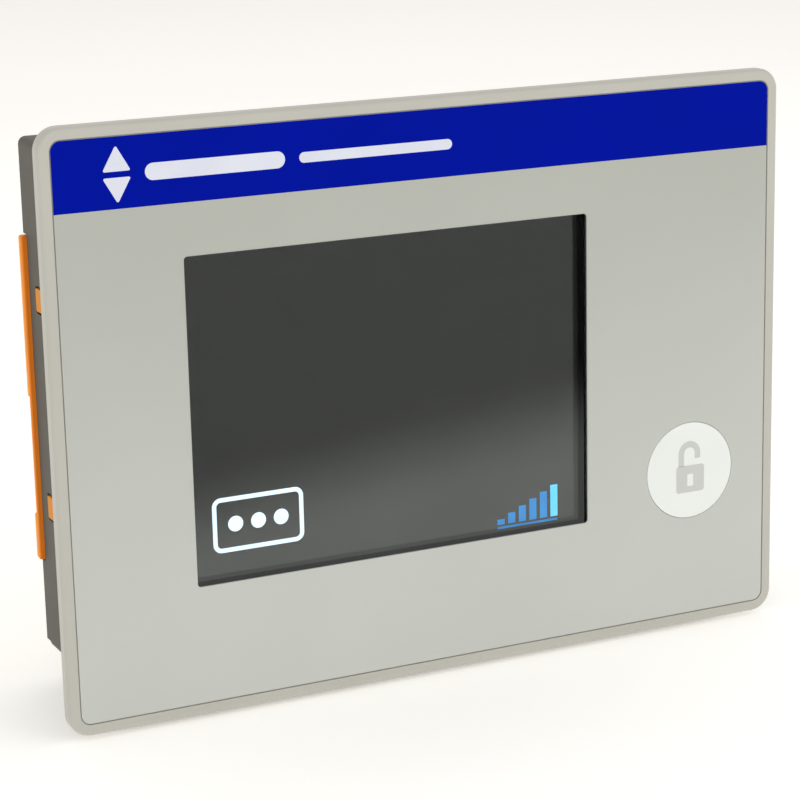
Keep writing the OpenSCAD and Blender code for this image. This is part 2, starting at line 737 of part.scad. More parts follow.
// Each clamp is drawn on the top wall; its number says on which side and wall it goes
module place_clamp(i) {
    p = clamp_at[i - 1];
    mirror([0, 0, p[1] < 0 ? 1 : 0]) translate([p[0] * clamp_x, 0, house_h / 2]) children();
}

module clamp_brackets() color("silver") for (i = [1 : 4]) place_clamp(i) difference() {
    union() {
        box([-clamp_block[0] / 2, clamp_block[0] / 2], [clamp_y, clamp_y + clamp_block[1]],
            [0, clamp_block[2]]);
        box([-clamp_foot[0] / 2, clamp_foot[0] / 2], [clamp_y, clamp_y + clamp_foot[1]],
            [0, clamp_foot[2]]);
    }
    rod([0, clamp_rise], clamp_y - cut, clamp_y + clamp_block[1] + cut, clamp_r + fit_gap);
}

module clamp_pad(i) color("dimgray") place_clamp(i) difference() {
    rod([0, clamp_rise], clamp_pad_y, clamp_pad_y + clamp_pad_t, clamp_pad_r);
    rod([0, clamp_rise], clamp_pad_y + 0.5, clamp_pad_y + clamp_pad_t + cut, clamp_tip_r + fit_gap);
}

module clamp_screw(i) color("silver") place_clamp(i) difference() {
    union() {
        rod([0, clamp_rise], clamp_pad_y + 0.6, clamp_end, clamp_tip_r);
        rod([0, clamp_rise], clamp_pad_y + clamp_pad_t + 0.2, clamp_end, clamp_r);
    }
    // hexagon socket
    rod([0, clamp_rise], clamp_end - 2, clamp_end + cut, 1.2, 6);
}

front_frame();
overlay_film();
touch_glass();
touch_seal();
touch_ribbon();
lcd_frame();
lcd_cell();
lcd_backlight();
display_ribbon();
display_carrier();
carrier_screws();
front_gasket();
unlock_key();
key_dome();
key_board();
key_ribbon();
backlight_driver();
small_board_screws();
mainboard();
processor_chips();
thermal_pads();
heat_sink();
board_standoffs();
board_screws();
housing_shell();
rear_cover();
rear_cover_screws();
housing_screws();
power_inlet();
ethernet_jacks();
usb_sockets();
serial_port();
serial_standoffs();
earth_stud();
bay_frame();
media_cover();
cover_hinge_pins();
service_board();
card_socket();
memory_card();
battery_holder();
backup_battery();
power_button();
reset_button();
status_lights();
rating_label();
clamp_brackets();
clamp_pad(1);  // clamp_pad_1
clamp_pad(2);  // clamp_pad_2
clamp_pad(3);  // clamp_pad_3
clamp_pad(4);  // clamp_pad_4
clamp_screw(1);  // clamp_screw_1
clamp_screw(2);  // clamp_screw_2
clamp_screw(3);  // clamp_screw_3
clamp_screw(4);  // clamp_screw_4
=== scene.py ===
import math
import bmesh
import bpy
from mathutils import Matrix, Vector


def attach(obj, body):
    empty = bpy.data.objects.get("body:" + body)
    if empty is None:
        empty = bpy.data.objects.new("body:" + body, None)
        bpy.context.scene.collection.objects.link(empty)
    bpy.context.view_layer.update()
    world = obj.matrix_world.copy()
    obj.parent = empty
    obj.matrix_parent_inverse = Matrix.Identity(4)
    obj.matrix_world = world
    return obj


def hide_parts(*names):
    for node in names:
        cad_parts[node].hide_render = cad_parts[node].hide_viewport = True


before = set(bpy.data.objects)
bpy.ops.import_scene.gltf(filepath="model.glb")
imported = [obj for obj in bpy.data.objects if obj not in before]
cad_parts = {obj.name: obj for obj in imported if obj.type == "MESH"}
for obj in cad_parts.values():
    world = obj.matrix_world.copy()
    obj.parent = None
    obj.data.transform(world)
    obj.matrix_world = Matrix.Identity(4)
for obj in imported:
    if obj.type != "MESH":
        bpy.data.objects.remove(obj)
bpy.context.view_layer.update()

# ---- camera ----
# A still-life camera on a long lens, standing a little to the left of the panel and above it.
# Sizes of pieces are in millimetres and are turned to metres where a mesh is made; the places of
# the camera, the lights and the patterns are in metres.
MM = 0.001
camera_spot = (-0.28486, -0.57947, 0.15879)
camera_looks = (0.4167, 0.8759, -0.2432)
camera_up = (0.1251, 0.2098, 0.9697)
lens = bpy.data.cameras.new("view_lens")
lens.lens = 112.65
lens.sensor_width = 36.0
lens.clip_start = 0.01
camera = bpy.data.objects.new("view_camera", lens)
bpy.context.scene.collection.objects.link(camera)
looks = Vector(camera_looks).normalized()
rightwards = looks.cross(Vector(camera_up)).normalized()
turned = Matrix((rightwards, rightwards.cross(looks), -looks)).transposed().to_4x4()
camera.matrix_world = Matrix.Translation(camera_spot) @ turned
bpy.context.scene.camera = camera

# ---- studio ----
# A pale table top under a light tent: the walls of the tent are the world's even light,
# and two soft boxes, one in front on the right and one above and behind, give it a direction.
bpy.context.scene.view_settings.view_transform = "Standard"
table_z = -79.3
table_reach = 9000.0
panel_middle = (0, 0.022, 0)
panel_foot = (0.1, 0.022, 0)
foot_clearance = 0.09
tent_light = 0.74


def linear(code):
    """A six-digit screen colour as the linear colour that shaders work in."""
    parts = [int(code[i:i + 2], 16) / 255 for i in (0, 2, 4)]
    return (*[p / 12.92 if p < 0.04045 else ((p + 0.055) / 1.055) ** 2.4 for p in parts], 1.0)


def new_material(name):
    """An empty material, with its nodes, its Principled shader and a way to join sockets."""
    material = bpy.data.materials.new(name)
    material.use_nodes = True
    tree = material.node_tree
    return material, tree.nodes, tree.nodes["Principled BSDF"], tree.links.new


table_paper, nodes, shader, link = new_material("table_paper")
place = nodes.new("ShaderNodeTexCoord")
fibres = nodes.new("ShaderNodeTexNoise")
fibres.inputs["Scale"].default_value = 900
fade = nodes.new("ShaderNodeTexGradient")
spread = nodes.new("ShaderNodeMapping")
spread.vector_type = "TEXTURE"
spread.inputs["Location"].default_value = (0, -0.4, 0)
spread.inputs["Rotation"].default_value = (0, 0, math.radians(90))
spread.inputs["Scale"].default_value = (1.6, 1.6, 1.6)
# painted light: the paper's colour is a touch lighter in front of the panel than behind it
painted_floor_falloff = nodes.new("ShaderNodeMix")
painted_floor_falloff.data_type = "RGBA"
painted_floor_falloff.inputs["A"].default_value = linear("FDFCF9")
painted_floor_falloff.inputs["B"].default_value = linear("F8F6F2")
press = nodes.new("ShaderNodeBump")
press.inputs["Distance"].default_value = 0.00003
link(place.outputs["Object"], spread.inputs["Vector"])
link(spread.outputs["Vector"], fade.inputs["Vector"])
link(fade.outputs["Fac"], painted_floor_falloff.inputs["Factor"])
link(painted_floor_falloff.outputs["Result"], shader.inputs["Base Color"])
link(place.outputs["Object"], fibres.inputs["Vector"])
link(fibres.outputs["Fac"], press.inputs["Height"])
link(press.outputs["Normal"], shader.inputs["Normal"])
shader.inputs["Roughness"].default_value = 0.75
# painted light: the paper glows, brighter in front of the panel and dimmer behind it
painted_floor_light = nodes.new("ShaderNodeMix")
painted_floor_light.data_type = "RGBA"
painted_floor_light.inputs["A"].default_value = linear("FFFEFB")
painted_floor_light.inputs["B"].default_value = linear("BAB8B4")
link(fade.outputs["Fac"], painted_floor_light.inputs["Factor"])
# the paper's painted light, an emission brighter in front of the panel and dimmer behind it, stays clear of
# the panel's foot, so that its soft shadow shows there
offset = place.outputs["Object"]
for operation, amount in (("SUBTRACT", panel_middle), ("ABSOLUTE", None), ("SUBTRACT", panel_foot),
                          ("MAXIMUM", (0, 0, 0)), ("LENGTH", None)):
    step = nodes.new("ShaderNodeVectorMath")
    step.operation = operation
    link(offset, step.inputs[0])
    if amount:
        step.inputs[1].default_value = amount
    offset = step.outputs["Value" if operation == "LENGTH" else "Vector"]
clear = nodes.new("ShaderNodeMapRange")
clear.interpolation_type = "SMOOTHSTEP"
clear.inputs["From Max"].default_value = foot_clearance
painted_light_off_foot = nodes.new("ShaderNodeMix")
painted_light_off_foot.data_type = "RGBA"
painted_light_off_foot.inputs["A"].default_value = (0, 0, 0, 1)
link(offset, clear.inputs["Value"])
link(clear.outputs["Result"], painted_light_off_foot.inputs["Factor"])
link(painted_floor_light.outputs["Result"], painted_light_off_foot.inputs["B"])
link(painted_light_off_foot.outputs["Result"], shader.inputs["Emission Color"])
shader.inputs["Emission Strength"].default_value = 0.38
sides = nodes.new("ShaderNodeNewGeometry")
upper_side = nodes.new("ShaderNodeMath")
upper_side.operation = "SUBTRACT"
upper_side.inputs[0].default_value = 1.0
link(sides.outputs["Backfacing"], upper_side.inputs[1])
link(upper_side.outputs["Value"], shader.inputs["Alpha"])
table = bmesh.new()
bmesh.ops.create_grid(table, x_segments=1, y_segments=1, size=table_reach * MM,
                      matrix=Matrix.Translation((0, 0, table_z * MM)))
table_mesh = bpy.data.meshes.new("table_top")
table.to_mesh(table_mesh)
table.free()
table_top = bpy.data.objects.new("table_top", table_mesh)
table_mesh.materials.append(table_paper)
bpy.context.scene.collection.objects.link(table_top)

tent = bpy.data.worlds.new("tent")
tent.use_nodes = True
tent.node_tree.nodes["Background"].inputs["Color"].default_value = (1.0, 0.995, 0.98, 1)
tent.node_tree.nodes["Background"].inputs["Strength"].default_value = tent_light
bpy.context.scene.world = tent
for name, spot, size, power in (("front_box", (0.75, -1.2, 0.9), 1.1, 2.4),
                                ("rear_box", (0.35, 1.0, 1.4), 1.5, 3.4)):
    box_light = bpy.data.lights.new(name, "AREA")
    box_light.size = size
    box_light.energy = power
    box_light.color = (1.0, 0.99, 0.975)
    box = bpy.data.objects.new(name, box_light)
    box.matrix_world = (Matrix.Translation(spot)
                        @ (-Vector(spot)).to_track_quat("-Z", "Y").to_matrix().to_4x4())
    box.visible_camera = False
    bpy.context.scene.collection.objects.link(box)

# ---- front frame ----
# One plate of aluminium, milled with a pocket for the film and a window, its front edge rounded
# and the whole plate powder-coated in a warm light grey with a fine satin texture.


def effect(name, takes, gives):
    """A new node group with named inputs and outputs, and its tools for filling it."""
    tree = bpy.data.node_groups.new(name, "ShaderNodeTree")
    for label, kind, value in takes:
        socket = tree.interface.new_socket(name=label, in_out="INPUT", socket_type=f"NodeSocket{kind}")
        socket.default_value = value
    for label, kind in gives:
        tree.interface.new_socket(name=label, in_out="OUTPUT", socket_type=f"NodeSocket{kind}")
    return tree, tree.nodes.new("NodeGroupInput"), tree.nodes.new("NodeGroupOutput"), tree.links.new


# mottle: two tones of one colour in soft clouds
mottle, takes, gives, link = effect("mottle",
    [("Base", "Color", (0.5, 0.5, 0.5, 1)), ("Tone", "Color", (0.4, 0.4, 0.4, 1)),
     ("Scale", "Float", 60.0), ("Amount", "Float", 0.5)], [("Color", "Color"), ("Mask", "Float")])
place = mottle.nodes.new("ShaderNodeTexCoord")
clouds = mottle.nodes.new("ShaderNodeTexNoise")
clouds.inputs["Detail"].default_value = 5
levels = mottle.nodes.new("ShaderNodeMapRange")
levels.inputs["From Min"].default_value = 0.34
levels.inputs["From Max"].default_value = 0.66
blend = mottle.nodes.new("ShaderNodeMix")
blend.data_type = "RGBA"
link(place.outputs["Object"], clouds.inputs["Vector"])
link(takes.outputs["Scale"], clouds.inputs["Scale"])
link(clouds.outputs["Fac"], levels.inputs["Value"])
link(takes.outputs["Amount"], levels.inputs["To Max"])
link(levels.outputs["Result"], blend.inputs["Factor"])
link(takes.outputs["Base"], blend.inputs["A"])
link(takes.outputs["Tone"], blend.inputs["B"])
link(blend.outputs["Result"], gives.inputs["Color"])
link(levels.outputs["Result"], gives.inputs["Mask"])

# handled: a gloss that handling has made uneven, with faint wipe marks
handled, takes, gives, link = effect("handled",
    [("Roughness", "Float", 0.4), ("Spread", "Float", 0.1), ("Scale", "Float", 45.0)],
    [("Roughness", "Float")])
place = handled.nodes.new("ShaderNodeTexCoord")
wipe = handled.nodes.new("ShaderNodeMapping")
wipe.inputs["Rotation"].default_value = (0.3, 0.5, 0.2)
wipe.inputs["Scale"].default_value = (1.0, 1.0, 3.2)
marks = handled.nodes.new("ShaderNodeTexNoise")
marks.inputs["Detail"].default_value = 6
marks.inputs["Roughness"].default_value = 0.62
around = handled.nodes.new("ShaderNodeMath")
around.operation = "SUBTRACT"
around.inputs[1].default_value = 0.5
spreads = handled.nodes.new("ShaderNodeMath")
spreads.operation = "MULTIPLY_ADD"
link(place.outputs["Object"], wipe.inputs["Vector"])
link(wipe.outputs["Vector"], marks.inputs["Vector"])
link(takes.outputs["Scale"], marks.inputs["Scale"])
link(marks.outputs["Fac"], around.inputs[0])
link(around.outputs["Value"], spreads.inputs[0])
link(takes.outputs["Spread"], spreads.inputs[1])
link(takes.outputs["Roughness"], spreads.inputs[2])
link(spreads.outputs["Value"], gives.inputs["Roughness"])

# grain: the height of a fine surface texture, drawn out along one axis for rolled or brushed metal
grain, takes, gives, link = effect("grain",
    [("Scale", "Float", 2500.0), ("Stretch", "Vector", (1.0, 1.0, 1.0))], [("Height", "Float")])
place = grain.nodes.new("ShaderNodeTexCoord")
drawn = grain.nodes.new("ShaderNodeVectorMath")
drawn.operation = "MULTIPLY"
bits = grain.nodes.new("ShaderNodeTexNoise")
bits.inputs["Detail"].default_value = 2.5
link(place.outputs["Object"], drawn.inputs[0])
link(takes.outputs["Stretch"], drawn.inputs[1])
link(drawn.outputs["Vector"], bits.inputs["Vector"])
link(takes.outputs["Scale"], bits.inputs["Scale"])
link(bits.outputs["Fac"], gives.inputs["Height"])


def use(nodes, tree, **values):
    """One placed copy of an effect, with its own values."""
    node = nodes.new("ShaderNodeGroup")
    node.node_tree = tree
    for label, value in values.items():
        node.inputs[label].default_value = value
    return node


def finish(name, colour, tone, rough, clouds=(60.0, 0.5), wiped=(0.1, 45.0), grit=(2500.0, 0.02),
           stretch=(1, 1, 1), metal=0.0, coat=0.0, sheen=0.0, translucent=0.0, shine=0.5):
    """A finish of two tones, an uneven gloss and a fine texture whose depth is in millimetres."""
    material, nodes, shader, link = new_material(name)
    tones = use(nodes, mottle, Base=linear(colour), Tone=linear(tone), Scale=clouds[0], Amount=clouds[1])
    gloss = use(nodes, handled, Roughness=rough, Spread=wiped[0], Scale=wiped[1])
    texture = use(nodes, grain, Scale=grit[0], Stretch=stretch)
    relief = nodes.new("ShaderNodeBump")
    relief.inputs["Distance"].default_value = grit[1] * MM
    link(tones.outputs["Color"], shader.inputs["Base Color"])
    link(gloss.outputs["Roughness"], shader.inputs["Roughness"])
    link(texture.outputs["Height"], relief.inputs["Height"])
    link(relief.outputs["Normal"], shader.inputs["Normal"])
    shader.inputs["Metallic"].default_value = metal
    shader.inputs["Coat Weight"].default_value = coat
    shader.inputs["Sheen Weight"].default_value = sheen
    shader.inputs["Specular IOR Level"].default_value = shine
    if translucent:
        shader.inputs["Subsurface Weight"].default_value = translucent
        shader.inputs["Subsurface Scale"].default_value = 0.002
    return material


def dress(material, *names):
    """Gives CAD nodes their finish."""
    for name in names:
        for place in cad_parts[name].material_slots:
            place.material = material


frame_coat = finish("frame_coat", "C2C0B7", "BAB8AF", 0.42, clouds=(26, 0.5), wiped=(0.12, 30),
                    grit=(2600, 0.014))
dress(frame_coat, "front_frame")

# ---- touch glass ----
# A sheet of touch glass behind the film, held off the display by a black foam seal,
# with a flat amber tail that carries its signals back to the main board.
glass, nodes, shader, link = new_material("touch_glass_clear")
gloss = use(nodes, handled, Roughness=0.006, Spread=0.01, Scale=22.0)
link(gloss.outputs["Roughness"], shader.inputs["Roughness"])
shader.inputs["Base Color"].default_value = (0.93, 0.96, 0.95, 1)
shader.inputs["Transmission Weight"].default_value = 1.0
shader.inputs["IOR"].default_value = 1.04
dress(glass, "touch_glass")
foam = finish("seal_foam", "38393A", "464748", 0.85, clouds=(900, 0.7), grit=(4200, 0.12), sheen=0.1)
dress(foam, "touch_seal", "front_gasket")


def ribbon_finish(name, axis):
    """Amber film with copper tracks that run side by side along a ribbon."""
    material, nodes, shader, link = new_material(name)
    place = nodes.new("ShaderNodeTexCoord")
    tracks = nodes.new("ShaderNodeTexWave")
    tracks.bands_direction = axis
    tracks.inputs["Scale"].default_value = 320
    tracks.inputs["Distortion"].default_value = 0.0
    steps = nodes.new("ShaderNodeMapRange")
    steps.inputs["From Min"].default_value = 0.4
    steps.inputs["From Max"].default_value = 0.6
    tones = use(nodes, mottle, Base=linear("A86A1E"), Tone=linear("8F5414"), Scale=80.0, Amount=0.6)
    copper = nodes.new("ShaderNodeMix")
    copper.data_type = "RGBA"
    copper.inputs["B"].default_value = linear("C98A3A")
    gloss = use(nodes, handled, Roughness=0.3, Spread=0.12, Scale=60.0)
    relief = nodes.new("ShaderNodeBump")
    relief.inputs["Distance"].default_value = 0.00003
    link(place.outputs["Object"], tracks.inputs["Vector"])
    link(tracks.outputs["Fac"], steps.inputs["Value"])
    link(steps.outputs["Result"], copper.inputs["Factor"])
    link(tones.outputs["Color"], copper.inputs["A"])
    link(copper.outputs["Result"], shader.inputs["Base Color"])
    link(gloss.outputs["Roughness"], shader.inputs["Roughness"])
    link(steps.outputs["Result"], relief.inputs["Height"])
    link(relief.outputs["Normal"], shader.inputs["Normal"])
    return material


dress(ribbon_finish("tracks_across_z", "Z"), "touch_ribbon", "key_ribbon")
dress(ribbon_finish("tracks_across_x", "X"), "display_ribbon")

# ---- overlay film ----
# A printed polyester film stuck into the frame's pocket: matt light grey, with a blue band
# along its top edge that carries plain white marks, all printed under the film's fine texture.


def paint_light_along(material, tones, axis, start, end):
    """Paints light and shade into a finish's colour: it runs out into two further tones along an axis, from
    start to end.
    """
    nodes, link = material.node_tree.nodes, material.node_tree.links.new
    shader = nodes["Principled BSDF"]
    first = shader.inputs["Base Color"].links[0].from_socket
    second = use(nodes, mottle, Base=linear(tones[0]), Tone=linear(tones[1]))
    for label in ("Scale", "Amount"):
        second.inputs[label].default_value = first.node.inputs[label].default_value
    place = nodes.new("ShaderNodeTexCoord")
    parts = nodes.new("ShaderNodeSeparateXYZ")
    course = nodes.new("ShaderNodeMapRange")
    course.interpolation_type = "SMOOTHSTEP"
    course.inputs["From Min"].default_value = start * MM
    course.inputs["From Max"].default_value = end * MM
    both = nodes.new("ShaderNodeMix")
    both.data_type = "RGBA"
    link(place.outputs["Object"], parts.inputs["Vector"])
    link(parts.outputs[axis], course.inputs["Value"])
    link(course.outputs["Result"], both.inputs["Factor"])
    link(first, both.inputs["A"])
    link(second.outputs["Color"], both.inputs["B"])
    link(both.outputs["Result"], shader.inputs["Base Color"])


film_face = -3.95
film_size = (205.2, 149.2)
film_corner = 2.6
ink = 0.02
band_height = 17.8
film_print = finish("film_print", "B4B6AE", "B8BAB2", 0.5, clouds=(14, 0.8), wiped=(0.1, 24),
                    grit=(5200, 0.006), shine=0.3)
dress(film_print, "overlay_film")
# painted light: the film's grey runs lighter from top to bottom, standing in for the light that falls more
# strongly on its lower part
paint_light_along(film_print, ("C9CBC6", "CDCFCA"), "Z", film_size[1] / 2, -film_size[1] / 2)
band_ink = finish("band_ink", "0015A2", "001294", 0.42, clouds=(30, 0.5), wiped=(0.1, 24),
                  grit=(5200, 0.006), shine=0.02)
white_ink = finish("white_ink", "E2E5F2", "D6DAEA", 0.45, clouds=(90, 0.5), grit=(5200, 0.005))


upright = Matrix.Rotation(math.radians(90), 3, "X").to_quaternion()


def plate_face(bm, low, high, y, round_by=0.0, corners="all", segments=10):
    """A flat face facing the front at y, with some of its corners rounded."""
    middle = ((low[0] + high[0]) / 2, y, (low[1] + high[1]) / 2)
    made = bmesh.ops.create_grid(bm, x_segments=1, y_segments=1, size=0.5, matrix=Matrix.LocRotScale(
        Vector(middle) * MM, upright, Vector((high[0] - low[0], high[1] - low[1], 1)) * MM))
    face = made["verts"][0].link_faces[0]
    if round_by:
        points = [v for v in made["verts"] if corners == "all" or v.co.z > middle[2] * MM]
        bmesh.ops.bevel(bm, geom=points, offset=round_by * MM, offset_type="OFFSET", segments=segments,
                        profile=0.5, affect="VERTICES", clamp_overlap=True, material=-1)
        face = [f for f in bm.faces if f.is_valid and not any(len(e.link_faces) > 1 for e in f.edges)][-1]
    return face


def slab(bm, low, high, y0, y1, **rounding):
    """A flat plate facing the front, from y0 to y1."""
    thicken(bm, plate_face(bm, low, high, y1, **rounding), (0, y0 - y1, 0))


def thicken(bm, faces, along):
    """Pulls flat faces out to a closed solid; along is in millimetres."""
    faces = [faces] if isinstance(faces, bmesh.types.BMFace) else list(faces)
    pulled = bmesh.ops.extrude_face_region(bm, geom=faces, use_keep_orig=True)
    points = [g for g in pulled["geom"] if isinstance(g, bmesh.types.BMVert)]
    bmesh.ops.translate(bm, vec=Vector(along) * MM, verts=points)


def block(bm, low, high, edge=0.0, segments=2):
    """A box between two corners, its edges rounded."""
    low, high = Vector(low), Vector(high)
    made = bmesh.ops.create_cube(bm, size=1.0, matrix=Matrix.LocRotScale(
        (low + high) / 2 * MM, None, (high - low) * MM))
    if edge:
        sides = list({e for v in made["verts"] for e in v.link_edges})
        bmesh.ops.bevel(bm, geom=sides, offset=edge * MM, offset_type="OFFSET", segments=segments,
                        profile=0.5, affect="EDGES", clamp_overlap=True, material=-1)


def rod(bm, start, end, radius, edge=0.0, sides=32):
    """A round rod between two points, its rims rounded."""
    start, end = Vector(start), Vector(end)
    turn = (end - start).to_track_quat("Z", "Y")
    made = bmesh.ops.create_cone(bm, cap_ends=True, cap_tris=False, segments=sides, radius1=radius * MM,
                                 radius2=radius * MM, depth=(end - start).length * MM,
                                 matrix=Matrix.LocRotScale((start + end) / 2 * MM, turn, None))
    if edge:
        rims = [e for e in {e for v in made["verts"] for e in v.link_edges}
                if any(len(f.verts) > 4 for f in e.link_faces) or sides == 4]
        bmesh.ops.bevel(bm, geom=rims, offset=edge * MM, offset_type="OFFSET", segments=2,
                        profile=0.5, affect="EDGES", clamp_overlap=True, material=-1)


def add_piece(bm, name, material, body="panel", sharp=32.0, stands_for=()):
    """Finishes a mesh as a piece that rides on a body and takes the given finish."""
    bmesh.ops.recalc_face_normals(bm, faces=bm.faces)
    mesh = bpy.data.meshes.new(name)
    bm.to_mesh(mesh)
    bm.free()
    mesh.shade_smooth()
    mesh.set_sharp_from_angle(angle=math.radians(sharp))
    mesh.materials.append(material)
    piece = bpy.data.objects.new(name, mesh)
    bpy.context.scene.collection.objects.link(piece)
    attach(piece, body)
    if stands_for:
        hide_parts(*stands_for)
    return piece


band = bmesh.new()
film_top = film_size[1] / 2
slab(band, (-film_size[0] / 2, film_top - band_height), (film_size[0] / 2, film_top),
     film_face - ink, film_face, round_by=film_corner, corners="upper")
add_piece(band, "header_band", band_ink)

# the header's marks: an up and a down arrow head, then one thick and one thin bar
arrows_at = (-86.1, 65.3)
arrow_apart = 2.9
arrow_radius = 4.3
marks = bmesh.new()
for side in (1, -1):
    arrow_middle = Vector((arrows_at[0], film_face - ink, arrows_at[1] + side * arrow_apart)) * MM
    arrow = bmesh.ops.create_circle(marks, cap_ends=True, segments=3, radius=arrow_radius * MM,
                                    matrix=Matrix.LocRotScale(arrow_middle, upright, None))
    if side < 0:
        bmesh.ops.rotate(marks, verts=arrow["verts"], cent=arrow_middle,
                         matrix=Matrix.Rotation(math.pi, 3, "Y"))
    bmesh.ops.bevel(marks, geom=arrow["verts"], offset=0.7 * MM, offset_type="OFFSET", segments=5,
                    profile=0.5, affect="VERTICES", clamp_overlap=True, material=-1)
for face in list(marks.faces):
    thicken(marks, face, (0, -ink, 0))
for low, high in (((-78.8, 63.1), (-41.5, 67.4)), ((-37.6, 63.9), (5.5, 66.6))):
    slab(marks, low, high, film_face - 2 * ink, film_face - ink, round_by=(high[1] - low[1]) / 2.01)
add_piece(marks, "header_marks", white_ink)

# ---- display ----
# A 5.7-inch liquid-crystal module in a pressed steel frame: a black border tape on its front,
# the lit cell, a white backlight behind it, and an aluminium carrier screwed to the frame.
window_x = -12.1
cell_face = 0.1
frame_face = -0.5
bright_steel = finish("pressed_steel", "B9BCBE", "A9ACAE", 0.32, clouds=(40, 0.5), wiped=(0.16, 60),
                      grit=(900, 0.01), stretch=(0.06, 1, 1), metal=1.0)
dress(bright_steel, "lcd_frame", "carrier_screws", "small_board_screws", "board_screws")
dress(finish("rolled_aluminium", "C4C6C8", "B4B7BA", 0.38, clouds=(20, 0.5), grit=(1400, 0.012),
             stretch=(0.05, 1, 1), metal=1.0), "display_carrier")
black_cell = finish("cell_glass", "08090A", "0E0F10", 0.12, clouds=(40, 0.4), wiped=(0.08, 30),
                    grit=(5000, 0.002), coat=0.6)
dress(black_cell, "lcd_cell")
dress(finish("backlight_body", "E4E4E0", "D6D7D4", 0.5, clouds=(35, 0.5), grit=(2600, 0.01)),
      "lcd_backlight")

# painted reflection: a dark screen glows faintly, and is painted lighter below a sloping line and faintly
# uneven, as emitted light that stands in for the bright floor reflected in the glass
painted_reflection, takes, gives, link = effect("painted_screen_reflection",
    [("Low", "Color", (0.02, 0.02, 0.02, 1)), ("High", "Color", (0.1, 0.1, 0.1, 1))], [("Color", "Color")])
place = painted_reflection.nodes.new("ShaderNodeTexCoord")
sloped = painted_reflection.nodes.new("ShaderNodeMapping")
sloped.vector_type = "TEXTURE"
sloped.inputs["Location"].default_value = (0, 0, -0.0175)
sloped.inputs["Rotation"].default_value = (0, math.radians(-6.6), 0)
height = painted_reflection.nodes.new("ShaderNodeSeparateXYZ")
reflection_slope = painted_reflection.nodes.new("ShaderNodeMapRange")
reflection_slope.interpolation_type = "SMOOTHSTEP"
reflection_slope.inputs["From Min"].default_value = 0.0145
reflection_slope.inputs["From Max"].default_value = -0.0145
glow = painted_reflection.nodes.new("ShaderNodeMix")
glow.data_type = "RGBA"
unevenness = painted_reflection.nodes.new("ShaderNodeTexNoise")
unevenness.inputs["Scale"].default_value = 26
clouded = painted_reflection.nodes.new("ShaderNodeMix")
clouded.data_type = "RGBA"
clouded.blend_type = "MULTIPLY"
clouded.inputs["Factor"].default_value = 0.25
link(place.outputs["Object"], sloped.inputs["Vector"])
link(sloped.outputs["Vector"], height.inputs["Vector"])
link(height.outputs["Z"], reflection_slope.inputs["Value"])
link(reflection_slope.outputs["Result"], glow.inputs["Factor"])
link(takes.outputs["Low"], glow.inputs["A"])
link(takes.outputs["High"], glow.inputs["B"])
link(place.outputs["Object"], unevenness.inputs["Vector"])
link(glow.outputs["Result"], clouded.inputs["A"])
link(unevenness.outputs["Fac"], clouded.inputs["B"])
link(clouded.outputs["Result"], gives.inputs["Color"])


def screen_finish(name, low, high):
    """A nearly black layer behind the glass, with a painted reflection glowing over it."""
    material, nodes, shader, link = new_material(name)
    light = use(nodes, painted_reflection, Low=(*low, 1), High=(*high, 1))
    black = use(nodes, mottle, Base=(0.003, 0.003, 0.003, 1), Tone=(0.006, 0.006, 0.006, 1), Scale=60.0)
    link(light.outputs["Color"], shader.inputs["Emission Color"])
    link(black.outputs["Color"], shader.inputs["Base Color"])
    shader.inputs["Emission Strength"].default_value = 0.7
    shader.inputs["Roughness"].default_value = 0.12
    shader.inputs["Specular IOR Level"].default_value = 0.42
    return material


tape = bmesh.new()
tape_sides = (-58.4, -57.2, 56.5, 58.4)
tape_levels = (-45.0, -42.9, 43.2, 45.0)
tape_layer = (frame_face + 0.1, frame_face + 0.14)
for x0, x1, z0, z1 in ((0, 3, 2, 3), (0, 3, 0, 1), (0, 1, 1, 2), (2, 3, 1, 2)):
    slab(tape, (tape_sides[x0] + window_x, tape_levels[z0]),
         (tape_sides[x1] + window_x, tape_levels[z1]), *tape_layer)
bmesh.ops.remove_doubles(tape, verts=tape.verts, dist=1e-6)
# the border tape glows with the same painted reflection, though black tape gives out no light
border_tape = screen_finish("border_tape", (0.004, 0.004, 0.004), (0.085, 0.086, 0.083))
add_piece(tape, "display_border", border_tape)

# the lit area: a dark boot screen
# the boot screen's faint glow is its own; the lighter part below the sloping line is painted reflection
screen = screen_finish("boot_screen", (0.018, 0.018, 0.0172), (0.142, 0.143, 0.136))
lit = bmesh.new()
slab(lit, (window_x - 57.5, -43.2), (window_x + 57.2, 43.2), cell_face - 0.03, cell_face)
add_piece(lit, "lit_screen", screen)


def glowing(name, colour, tone, strength):
    """Screen dots that give out light, in two close tones."""
    material, nodes, shader, link = new_material(name)
    tones = use(nodes, mottle, Base=linear(colour), Tone=linear(tone), Scale=160.0, Amount=0.7)
    link(tones.outputs["Color"], shader.inputs["Base Color"])
    link(tones.outputs["Color"], shader.inputs["Emission Color"])
    shader.inputs["Emission Strength"].default_value = strength
    shader.inputs["Roughness"].default_value = 0.4
    return material


def open_frame(bm, low, high, wide, round_by, y0, y1):
    """A flat frame facing the front: a rounded plate whose middle is taken out."""
    face = plate_face(bm, low, high, y1, round_by=round_by)
    rim = bmesh.ops.inset_region(bm, faces=[face], thickness=wide * MM, use_even_offset=True,
                                 use_boundary=True)["faces"]
    bmesh.ops.delete(bm, geom=[face], context="FACES_ONLY")
    thicken(bm, rim, (0, y0 - y1, 0))


def disc(bm, middle, radius, y0, y1):
    """A flat round spot facing the front."""
    rod(bm, (middle[0], y0, middle[1]), (middle[0], y1, middle[1]), radius)


